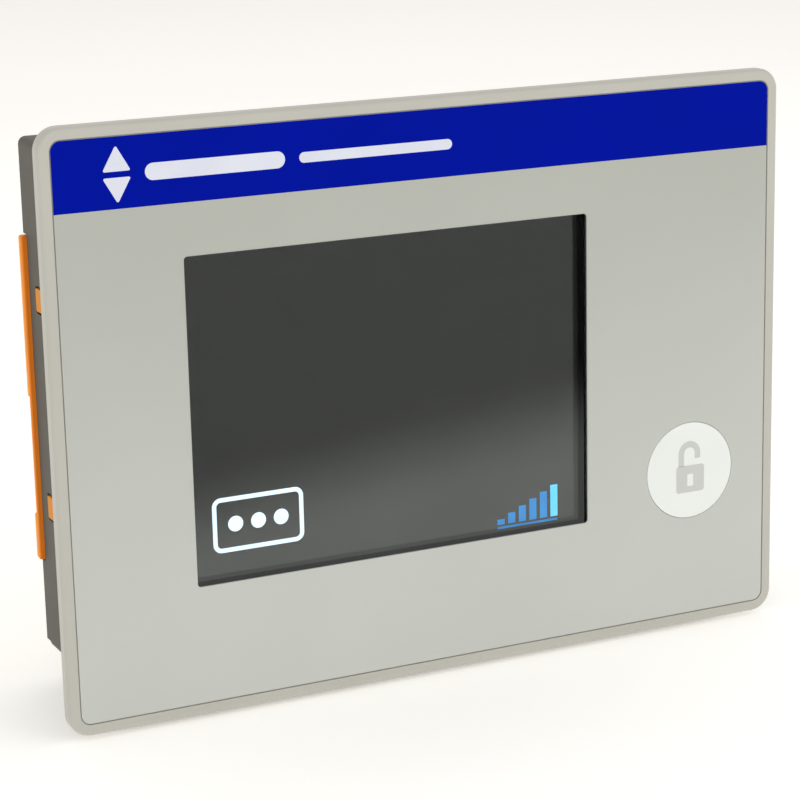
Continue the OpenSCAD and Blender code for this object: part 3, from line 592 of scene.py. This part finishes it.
# a rounded frame with three waiting dots, and a progress figure of rising bars, the last one paler
layer = (cell_face - 0.06, cell_face - 0.03)
waiting = bmesh.new()
sign = (-50.7, -28.9)
sign_reach = (12.8, 7.4)
sign_line, sign_corner = 1.2, 2.4
waiting_dot, dots_apart = 2.1, 6.4
open_frame(waiting, (sign[0] - sign_reach[0], sign[1] - sign_reach[1]),
           (sign[0] + sign_reach[0], sign[1] + sign_reach[1]), sign_line, sign_corner, *layer)
for x in (-dots_apart, 0, dots_apart):
    disc(waiting, (sign[0] + x, sign[1]), waiting_dot, *layer)
add_piece(waiting, "boot_waiting_sign", glowing("screen_white", "DDEAF4", "D0E0EE", 0.72))
bars, last_bar = bmesh.new(), bmesh.new()
bar_pitch, bar_width, bar_count = 3.3, 2.2, 6
bars_left, bars_foot, bar_rise = 19.4, -41.0, 1.5
for i in range(bar_count):
    left = bars_left + bar_pitch * i
    slab(last_bar if i == bar_count - 1 else bars, (left, bars_foot),
         (left + bar_width, bars_foot + bar_rise * (i + 1)), *layer)
slab(bars, (bars_left, bars_foot - 1.2), (left + bar_width, bars_foot - 0.6), *layer)
add_piece(bars, "boot_progress_bars", glowing("screen_blue", "3F86C4", "3676B4", 0.75))
add_piece(last_bar, "boot_progress_last_bar", glowing("screen_cyan", "6CC4EA", "55B2DE", 0.85))

# ---- unlock key ----
# A flat round key of white plastic, flush with the film, printed with an open padlock in grey.
# Behind it a steel snap dome sits on a small board, which a short ribbon joins to the main board.
key_white = finish("key_plastic", "F0F3F0", "EBEEEB", 0.4, clouds=(60, 0.6), wiped=(0.08, 60),
                   grit=(5200, 0.006), coat=0.05)
dress(key_white, "unlock_key")
grey_ink = finish("grey_ink", "CFD1CC", "C9CBC6", 0.45, clouds=(120, 0.6), grit=(5200, 0.005))
lock = bmesh.new()
layer = (film_face - ink, film_face)
slab(lock, (74.0, -39.2), (83.1, -31.4), *layer, round_by=0.9, segments=5)
# shackle: a flat band up the left leg, round the bow and down the short open leg
bow_z = -27.95
leg_z = -31.5
band_edge = [lock.verts.new(Vector((x, film_face, leg_z)) * MM) for x in (74.7, 76.5)]
leg = lock.edges.new(band_edge)
leg_top = bmesh.ops.extrude_edge_only(lock, edges=[leg])["geom"]
bmesh.ops.translate(lock, verts=[g for g in leg_top if isinstance(g, bmesh.types.BMVert)],
                    vec=(0, 0, (bow_z - leg_z) * MM))
bow = bmesh.ops.spin(lock, geom=[g for g in leg_top if isinstance(g, bmesh.types.BMEdge)],
                     cent=Vector((78.25, film_face, bow_z)) * MM, axis=(0, 1, 0), angle=math.pi,
                     steps=20, use_merge=False)
leg_end = bmesh.ops.extrude_edge_only(
    lock, edges=[g for g in bow["geom_last"] if isinstance(g, bmesh.types.BMEdge)])["geom"]
bmesh.ops.translate(lock, verts=[g for g in leg_end if isinstance(g, bmesh.types.BMVert)],
                    vec=(0, 0, -1.6 * MM))
band_faces = [f for f in lock.faces if all(abs(v.co.y - film_face * MM) < 1e-7 for v in f.verts)
              and min(v.co.z for v in f.verts) > -31.6 * MM]
thicken(lock, band_faces, (0, -ink, 0))
add_piece(lock, "padlock_print", grey_ink, body="unlock_key")
hole = bmesh.new()
slab(hole, (77.6, -37.4), (79.5, -33.9), film_face - 2 * ink, film_face - ink, round_by=0.3, segments=3)
add_piece(hole, "padlock_keyhole", key_white, body="unlock_key")
dress(bright_steel, "key_dome")

# ---- boards ----
# Green circuit boards on zinc-plated posts: the key's and the backlight's small ones, and the
# main board with its chips, soft heat pads and a black anodised heat sink of ten fins.
board, nodes, shader, link = new_material("board_green")
place = nodes.new("ShaderNodeTexCoord")
cells = nodes.new("ShaderNodeTexVoronoi")
cells.distance = "MANHATTAN"
cells.feature = "DISTANCE_TO_EDGE"
cells.inputs["Scale"].default_value = 260
tracks = nodes.new("ShaderNodeMapRange")
tracks.inputs["From Min"].default_value = 0.04
tracks.inputs["From Max"].default_value = 0.07
greens = nodes.new("ShaderNodeMix")
greens.data_type = "RGBA"
greens.inputs["A"].default_value = linear("2F7A4A")
tones = use(nodes, mottle, Base=linear("1B5735"), Tone=linear("154A2B"), Scale=90.0, Amount=0.7)
gloss = use(nodes, handled, Roughness=0.3, Spread=0.12, Scale=70.0)
relief = nodes.new("ShaderNodeBump")
relief.inputs["Distance"].default_value = 0.00002
link(place.outputs["Object"], cells.inputs["Vector"])
link(cells.outputs["Distance"], tracks.inputs["Value"])
link(tracks.outputs["Result"], greens.inputs["Factor"])
link(tones.outputs["Color"], greens.inputs["B"])
link(greens.outputs["Result"], shader.inputs["Base Color"])
link(gloss.outputs["Roughness"], shader.inputs["Roughness"])
link(tracks.outputs["Result"], relief.inputs["Height"])
link(relief.outputs["Normal"], shader.inputs["Normal"])
shader.inputs["Coat Weight"].default_value = 0.2
dress(board, "key_board", "backlight_driver", "mainboard", "service_board")
dress(finish("chip_epoxy", "232426", "2E2F31", 0.55, clouds=(500, 0.5), grit=(3800, 0.02)),
      "processor_chips")
dress(finish("heat_pad", "9DA3AB", "8D939B", 0.8, clouds=(300, 0.5), grit=(2200, 0.05)), "thermal_pads")
dress(finish("anodised_black", "3A3B3D", "2E2F31", 0.45, clouds=(60, 0.5), grit=(1500, 0.02),
             stretch=(1, 0.05, 1), metal=0.8), "heat_sink")
plated = finish("zinc_plate", "C2C4C0", "A6A9A8", 0.3, clouds=(240, 0.7), wiped=(0.2, 160),
                grit=(1800, 0.01), metal=1.0)
dress(plated, "board_standoffs", "cover_hinge_pins", "rear_cover_screws", "housing_screws")

# ---- housing ----
# A folded box of sheet steel, powder-coated dark grey, with a screwed rear cover. Its side wall
# has slots for the bay's snap noses, and its walls and cover have cooling slots.
housing_coat = finish("housing_coat", "5F5D55", "595750", 0.55, clouds=(34, 0.6), wiped=(0.14, 40),
                      grit=(1900, 0.035), shine=0.2)
dress(housing_coat, "housing_shell", "rear_cover")


def carve(piece, cutter, fuse=True):
    """Cuts a mesh out of a piece for good, and throws the cutter away; fuse joins its solids."""
    bmesh.ops.recalc_face_normals(cutter, faces=cutter.faces)
    knife_mesh = bpy.data.meshes.new("knife")
    cutter.to_mesh(knife_mesh)
    cutter.free()
    knife = bpy.data.objects.new("knife", knife_mesh)
    bpy.context.scene.collection.objects.link(knife)
    cut = piece.modifiers.new("cut", "BOOLEAN")
    cut.operation = "DIFFERENCE"
    cut.solver = "EXACT"
    cut.use_self = fuse
    cut.object = knife
    bpy.context.view_layer.update()
    carved = bpy.data.meshes.new_from_object(piece.evaluated_get(bpy.context.evaluated_depsgraph_get()))
    piece.modifiers.clear()
    piece.data = carved
    carved.name = piece.name
    bpy.data.objects.remove(knife)
    bpy.data.meshes.remove(knife_mesh)


# the six pan heads on the rear cover, with cross recesses
head_y = (46.0, 47.9)
heads, recesses = bmesh.new(), bmesh.new()
for x, z in ((-89.3, 63.5), (-89.3, -63.5), (89.3, 63.5), (89.3, -63.5), (5, 63.5), (5, -63.5)):
    head_foot = Matrix.LocRotScale(Vector((x, head_y[0], z)) * MM, upright, None)
    rim = bmesh.ops.create_circle(heads, cap_ends=True, segments=40, radius=2.8 * MM,
                                  matrix=head_foot)["verts"]
    top = rim[0].link_faces[0]
    for height, radius in ((0.9, 2.8), (1.45, 2.55), (1.78, 2.0), (1.9, 1.3)):
        pulled = bmesh.ops.extrude_face_region(heads, geom=[top], use_keep_orig=(height == 0.9))
        top = [g for g in pulled["geom"] if isinstance(g, bmesh.types.BMFace)][0]
        middle = Vector((x, head_y[0] + height, z)) * MM
        for v in top.verts:
            out = Vector((v.co.x - x * MM, 0, v.co.z - z * MM)).normalized()
            v.co = middle + out * radius * MM
    for size in ((3.2, 0.75), (0.75, 3.2)):
        block(recesses, (x - size[0] / 2, head_y[1] - 1.1, z - size[1] / 2),
              (x + size[0] / 2, head_y[1] + 0.5, z + size[1] / 2), edge=0.12)
rear_heads = add_piece(heads, "rear_screw_heads", plated, sharp=50,
                       stands_for=("rear_cover_screws",))
carve(rear_heads, recesses)

# the blank rating label: silver film with a frame, ruled lines and an empty code field
label_y = 46.15
dress(finish("label_silver", "CDD0D1", "C4C7C9", 0.3, clouds=(30, 0.5), grit=(2600, 0.004),
             stretch=(0.2, 1, 1), metal=0.6), "rating_label")
lines = bmesh.new()
layer = (label_y, label_y + ink)
for low, high in (((15, -47), (75, -46.7)), ((15, -17.3), (75, -17)), ((15, -46.7), (15.3, -17.3)),
                  ((74.7, -46.7), (75, -17.3)), ((17.5, -23), (40, -20.5)), ((17.5, -27), (52, -26)),
                  ((17.5, -30), (47, -29)), ((17.5, -33), (50, -32)), ((17.5, -36), (44, -35)),
                  ((17.5, -44), (28, -39)), ((31, -44), (41.5, -39)), ((58, -44.5), (72.5, -30))):
    slab(lines, low, high, *layer)
print_black = finish("label_ink", "2A2C2F", "34363A", 0.5, clouds=(120, 0.5), grit=(5200, 0.004))
add_piece(lines, "label_lines", print_black)

# ---- sockets ----
# The bottom wall's connectors: a green three-way supply inlet, two shielded network jacks, two
# USB sockets, a nine-way serial port between threaded posts, and a brass earth stud.
inlet_green = finish("inlet_green", "3D7A4B", "356F43", 0.45, clouds=(200, 0.5), grit=(3000, 0.02))
dress(inlet_green, "power_inlet")
tinned = finish("tinned_shell", "C6C8C8", "B2B5B6", 0.28, clouds=(160, 0.6), wiped=(0.18, 120),
                grit=(1600, 0.008), stretch=(1, 1, 0.1), metal=1.0)
dress(tinned, "ethernet_jacks", "usb_sockets", "serial_port", "serial_standoffs")
black_plastic = finish("black_moulding", "1E1F21", "27282A", 0.5, clouds=(240, 0.5), grit=(3400, 0.02))
gold = finish("contact_gold", "D9B45B", "C79E45", 0.22, clouds=(300, 0.5), grit=(2600, 0.004), metal=1.0)
contacts, liners = bmesh.new(), bmesh.new()
jack_lamps = {"green": bmesh.new(), "amber": bmesh.new()}
board_face = 21.6
wall_z = -69.5
jack_places = (-24, -5)
usb_places = (13, 30)
for x in jack_places:
    low_y, high_y = board_face + 2.4, board_face + 9.6
    for low, high in (((x - 5.95, low_y), (x + 5.95, low_y + 0.12)), ((x - 5.95, low_y), (x - 5.8, high_y)),
                      ((x + 5.8, low_y), (x + 5.95, high_y)), ((x - 5.95, high_y - 0.12), (x - 3, high_y)),
                      ((x + 3, high_y - 0.12), (x + 5.95, high_y))):
        block(liners, (low[0], low[1], wall_z + 0.1), (high[0], high[1], wall_z + 13))
    block(liners, (x - 5.9, low_y, wall_z + 12.7), (x + 5.9, high_y, wall_z + 13))
    for i in range(8):
        wire_x = x - 3.62 + 1.02 * i
        block(contacts, (wire_x - 0.22, low_y, wall_z + 2.9),
              (wire_x + 0.22, low_y + 0.52, wall_z + 12.9), 0.08)
        rod(contacts, (wire_x, low_y + 0.5, wall_z + 3.2), (wire_x, low_y + 2.9, wall_z + 11), 0.2,
            sides=12)
    for side, colour in ((-1, "green"), (1, "amber")):
        block(jack_lamps[colour], (x + side * 5.9 - 1.4, board_face + 10.4, wall_z - 0.55),
              (x + side * 5.9 + 1.4, board_face + 12.2, wall_z - 0.2), 0.15)
for x in usb_places:
    block(liners, (x - 5.54, board_face + 0.56, wall_z + 1.46),
          (x + 5.54, board_face + 2.54, wall_z + 12.2), 0.15)
    for i, wide in enumerate((-3.5, -1.0, 1.0, 3.5)):
        block(contacts, (x + wide - 0.5, board_face + 2.5, wall_z + (2.4 if abs(wide) > 2 else 3.4)),
              (x + wide + 0.5, board_face + 2.66, wall_z + 12), 0.05)
# serial port: a black face between the pins, and nine round-ended pins
port = Vector((55, 27.9, wall_z))
port_corners = [liners.verts.new((port + Vector((x, y, -0.6))) * MM)
                for x, y in ((-7.75, -3.35), (7.75, -3.35), (6.45, 3.35), (-6.45, 3.35))]
face = bmesh.ops.contextual_create(liners, geom=port_corners)
thicken(liners, face["faces"], (0, 0, 0.5))
for count, row_y, first in ((5, -1.4, -5.54), (4, 1.4, -4.16)):
    for i in range(count):
        pin = port + Vector((first + 2.77 * i, row_y, 0))
        rod(contacts, pin + Vector((0, 0, -4.1)), pin + Vector((0, 0, -0.5)), 0.52, edge=0.25, sides=16)
for i in (-1, 0, 1):
    x = -48 + 5.08 * i
    block(contacts, (x - 0.53, board_face + 2.57, wall_z + 0.9),
          (x + 0.53, board_face + 3.63, wall_z + 9), 0.18)
add_piece(contacts, "socket_contacts", gold)
add_piece(liners, "socket_liners", black_plastic)
add_piece(jack_lamps["green"], "jack_lamps_green", finish("lamp_green", "4E9A5B", "5DAA69", 0.25,
          clouds=(600, 0.5), grit=(2000, 0.004), translucent=0.3))
add_piece(jack_lamps["amber"], "jack_lamps_amber", finish("lamp_amber", "C98A2B", "D89A3A", 0.25,
          clouds=(600, 0.5), grit=(2000, 0.004), translucent=0.3))


def thread(bm, start, along, length, core, crest, pitch=0.7, steps=20):
    """A right-handed thread: one tooth's profile, turned and moved along its axis."""
    along = Vector(along).normalized()
    out = along.orthogonal().normalized()
    turns = length / pitch
    tooth = [(core - 0.02, 0), (crest, 0.38), (crest, 0.5), (core - 0.02, 0.88)]
    points = [bm.verts.new((Vector(start) + out * r + along * pitch * t) * MM) for r, t in tooth]
    edges = [bm.edges.new(pair) for pair in zip(points, points[1:])]
    whole = max(1, round((turns - 1) * steps))
    bmesh.ops.spin(bm, geom=points + edges, cent=Vector(start) * MM, axis=along,
                   dvec=along * pitch / steps * MM, angle=math.tau * whole / steps, steps=whole,
                   use_merge=False)


stud = bmesh.new()
for low, high, radius, sides in ((-71.0, -69.55, 4.0, 6), (-67.95, -65.65, 4.0, 6), (-71.5, -71.0, 3.9, 40)):
    rod(stud, (-64, 32, low), (-64, 32, high), radius, edge=0.18, sides=sides)
rod(stud, (-64, 32, -77.5), (-64, 32, -65.4), 1.66, edge=0.3)
thread(stud, (-64, 32, -71.2), (0, 0, -1), 6.2, 1.64, 2.0)
brass = finish("stud_brass", "C9A75C", "B5924A", 0.3, clouds=(200, 0.6), wiped=(0.16, 120),
               grit=(1700, 0.008), metal=1.0)
add_piece(stud, "earth_stud_threaded", brass, stands_for=("earth_stud",))

# ---- media bay ----
# An orange moulded tray snapped into the housing's left wall. It holds the memory card, the coin
# cell, two push buttons and three light pipes, and its hinged cover reaches round the wall's edge.
bay_orange = finish("bay_orange", "E4901E", "DC8818", 0.5, clouds=(40, 0.6), wiped=(0.12, 50),
                    grit=(2600, 0.02), translucent=0.05, shine=0.15)
dress(bay_orange, "bay_frame")
dress(black_plastic, "card_socket", "battery_holder", *[f"clamp_pad_{i}" for i in (1, 2, 3, 4)])
cover_orange = finish("cover_orange", "FA8A16", "F07E10", 0.42, clouds=(40, 0.6), wiped=(0.12, 50),
                      grit=(2600, 0.02), translucent=0.05, shine=0.25)
# painted light and shade: the cover's orange runs from a deeper, shaded tone on the plate beside the wall to
# pale yellow painted highlights on the rear pads and ribs
paint_light_along(cover_orange, ("FFB84A", "FFAE3C"), "Y", 44.4, 46.2)
hinge = (-66.0, 44.4)
knuckle = 1.9
cover = bmesh.new()
block(cover, (-96.6, 43.6, -44.7), (-68.2, 45.2, 43.7), edge=0.45, segments=3)
for low_z, high_z in ((0.0, 43.7), (-44.7, -32.0)):
    block(cover, (-96.6, 45.0, low_z), (-79.3, 46.9, high_z), edge=0.6, segments=3)
    for i in range(int((high_z - low_z - 5) / 2.4)):
        rib_z = low_z + 3.2 + 2.4 * i
        block(cover, (-94.4, 46.7, rib_z - 0.5), (-81.8, 47.2, rib_z + 0.5), edge=0.24)
for z in (30, -30):
    rod(cover, (*hinge, z - 5), (*hinge, z + 5), knuckle, edge=0.2, sides=40)
    block(cover, (-69.6, 43.65, z - 4.9), (-66.0, 45.15, z + 4.9), edge=0.2)
for z in (-38, -14, 4, 38):
    block(cover, (-91.3, 42.9, z - 0.6), (-70.0, 43.8, z + 0.6), edge=0.2)
cover_shell = add_piece(cover, "media_cover_moulding", cover_orange, body="media_cover",
                        stands_for=("media_cover",))
bores = bmesh.new()
for z in (30, -30):
    rod(bores, (*hinge, z - 8), (*hinge, z + 8), 1.05, sides=32)
carve(cover_shell, bores)

# the memory card, with a notch, a finger ridge and a paler label
card = bmesh.new()
block(card, (-81.55, 10.8, 8.0), (-79.45, 42.8, 32.0), edge=0.25, segments=3)
for i in range(3):
    block(card, (-81.7, 39.2 + 1.0 * i, 12), (-79.3, 39.7 + 1.0 * i, 28), edge=0.12)
add_piece(card, "memory_card_body", finish("card_blue", "2B55A4", "244A93", 0.42, clouds=(120, 0.5),
          grit=(3000, 0.012)), stands_for=("memory_card",))
sticker = bmesh.new()
block(sticker, (-79.44, 16, 10.5), (-79.38, 38, 29.5))
add_piece(sticker, "memory_card_label", white_ink)

# the coin cell: a rolled steel can with a raised face
cell = bmesh.new()
rod(cell, (-82.1, 26, -26), (-79.5, 26, -26), 10.0, edge=0.5, sides=64)
rod(cell, (-79.6, 26, -26), (-78.9, 26, -26), 8.6, edge=0.3, sides=64)
add_piece(cell, "coin_cell_can", bright_steel, stands_for=("backup_battery",))

for body, z, colour, tone, slot_name in (("power_button", 24.0, "2F8C5A", "287E50", "button_green"),
                                         ("reset_button", 10.0, "B5302B", "A62A26", "button_red")):
    button = bmesh.new()
    rod(button, (-71.5, 33, z), (-71.5, 37, z), 3.0, edge=0.45, sides=48)
    rod(button, (-71.5, 14.0, z), (-71.5, 33.5, z), 1.6, edge=0.1)
    cap = add_piece(button, body + "_cap", finish(body + "_plastic", colour, tone, 0.35, clouds=(300, 0.5),
                    grit=(3000, 0.012), coat=0.15), body=body, stands_for=(body,))
    dish = bmesh.new()
    rod(dish, (-71.5, 36.7, z), (-71.5, 37.6, z), 1.9, edge=0.2, sides=48)
    carve(cap, dish)
dress(finish("light_pipe", "E9EBE2", "DDE0D6", 0.18, clouds=(400, 0.5), grit=(1500, 0.003),
             translucent=0.5), "status_lights")

# ---- clamps ----
# Four die-cast clamps on the top and bottom walls. In each a threaded steel screw with a hexagon
# socket runs through the bracket and pushes a black pad against the back of the cabinet door.
cast = finish("clamp_casting", "A9ABAC", "989B9D", 0.5, clouds=(260, 0.7), grit=(1300, 0.05), metal=0.9)
dress(cast, "clamp_brackets")
clamp_places = ((-78, 72.3), (78, 72.3), (-78, -72.3), (78, -72.3))
for number, (x, z) in enumerate(clamp_places, 1):
    screw = bmesh.new()
    rod(screw, (x, 7.1, z), (x, 9.3, z), 1.45, edge=0.2)
    rod(screw, (x, 8.6, z), (x, 25, z), 1.66, edge=0.2)
    thread(screw, (x, 24.6, z), (0, -1, 0), 15.6, 1.64, 2.0)
    screw_piece = add_piece(screw, f"clamp_screw_{number}_threaded", plated,
                            body=f"clamp_screw_{number}", stands_for=(f"clamp_screw_{number}",))
    socket = bmesh.new()
    rod(socket, (x, 23.0, z), (x, 26, z), 1.15, sides=6)
    carve(screw_piece, socket, fuse=False)
